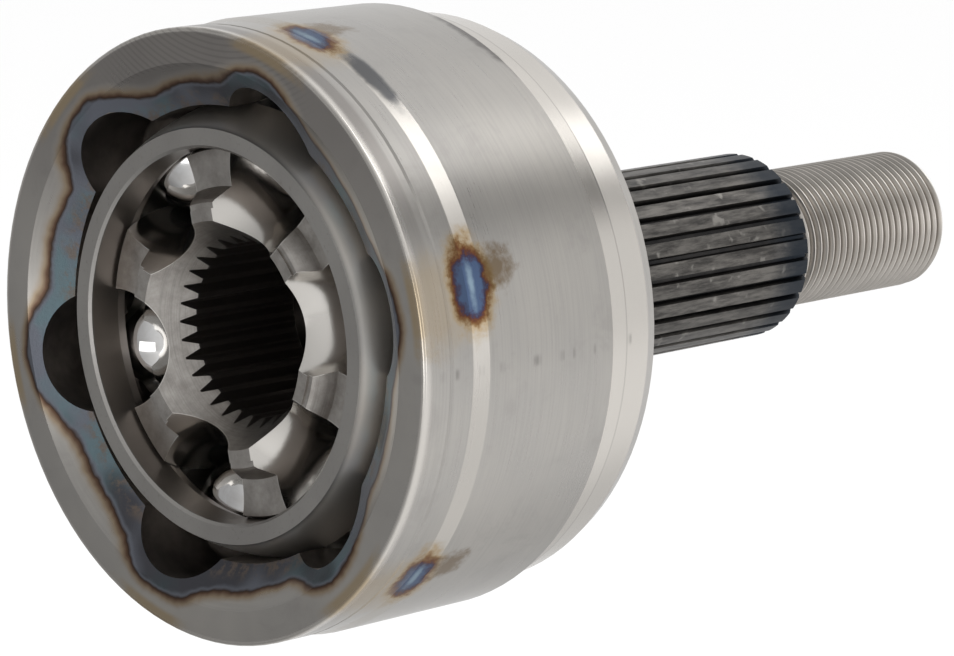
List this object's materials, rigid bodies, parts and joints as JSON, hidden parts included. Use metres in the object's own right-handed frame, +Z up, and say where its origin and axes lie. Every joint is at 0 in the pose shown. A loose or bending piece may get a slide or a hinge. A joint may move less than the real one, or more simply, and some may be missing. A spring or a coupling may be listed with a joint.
{
  "type": "constant velocity joint",
  "caption": "Fixed constant-velocity joint: lobed bell with splined, threaded stub shaft, caged balls and a toothed inner race.",
  "frame": {"origin": "articulation centre, on the joint axis, which is also the middle of the inner race's splined bore", "axes": "+X along the joint axis from the open mouth to the threaded stub, +Z up, and the modelled articulation turns about Z"},
  "size_m": [0.1517, 0.0884, 0.0884],
  "materials": {
    "bell_steel": "satin turned steel with heat tint at the tracks",
    "cage_steel": "ground face, satin",
    "race_steel": "machined and ground",
    "ball_steel": "polished"
  },
  "bodies": {
    "outer_race": {"outer_race": "bell_steel"},
    "cage": {"cage": "cage_steel"},
    "inner_race": {"inner_race": "race_steel"},
    "ball_1": {"ball_1": "ball_steel"},
    "ball_2": {"ball_2": "ball_steel"},
    "ball_3": {"ball_3": "ball_steel"},
    "ball_4": {"ball_4": "ball_steel"},
    "ball_5": {"ball_5": "ball_steel"},
    "ball_6": {"ball_6": "ball_steel"}
  },
  "joints": [
    {"name": "articulation", "type": "hinge", "parent": "outer_race", "child": "inner_race", "pos_m": [0, 0, 0], "axis": [0, 0, 1], "range_deg": [-45, 45]},
    {"name": "cage_tilt", "type": "hinge", "parent": "outer_race", "child": "cage", "pos_m": [0, 0, 0], "axis": [0, 0, 1], "range_deg": [-23, 23]},
    {"name": "ball_1_travel", "type": "hinge", "parent": "outer_race", "child": "ball_1", "pos_m": [-0.004, 0, 0], "axis": [0, 0.2164, 0.9763], "range_deg": [-24, 24]},
    {"name": "ball_2_travel", "type": "hinge", "parent": "outer_race", "child": "ball_2", "pos_m": [-0.004, 0, 0], "axis": [0, -0.7373, 0.6756], "range_deg": [-17, 17]},
    {"name": "ball_3_travel", "type": "hinge", "parent": "outer_race", "child": "ball_3", "pos_m": [-0.004, 0, 0], "axis": [0, -0.9537, -0.3007], "range_deg": [-9, 9]},
    {"name": "ball_4_travel", "type": "hinge", "parent": "outer_race", "child": "ball_4", "pos_m": [-0.004, 0, 0], "axis": [0, -0.2164, -0.9763], "range_deg": [-24, 24]},
    {"name": "ball_5_travel", "type": "hinge", "parent": "outer_race", "child": "ball_5", "pos_m": [-0.004, 0, 0], "axis": [0, 0.7373, -0.6756], "range_deg": [-17, 17]},
    {"name": "ball_6_travel", "type": "hinge", "parent": "outer_race", "child": "ball_6", "pos_m": [-0.004, 0, 0], "axis": [0, 0.9537, 0.3007], "range_deg": [-9, 9]}
  ],
  "couplings": [
    {"joint": "cage_tilt", "follows": "articulation", "ratio": 0.5},
    {"joint": "ball_1_travel", "follows": "articulation", "ratio": 0.4894},
    {"joint": "ball_2_travel", "follows": "articulation", "ratio": 0.3472},
    {"joint": "ball_3_travel", "follows": "articulation", "ratio": -0.1565},
    {"joint": "ball_4_travel", "follows": "articulation", "ratio": -0.4894},
    {"joint": "ball_5_travel", "follows": "articulation", "ratio": -0.3472},
    {"joint": "ball_6_travel", "follows": "articulation", "ratio": 0.1565}
  ]
}
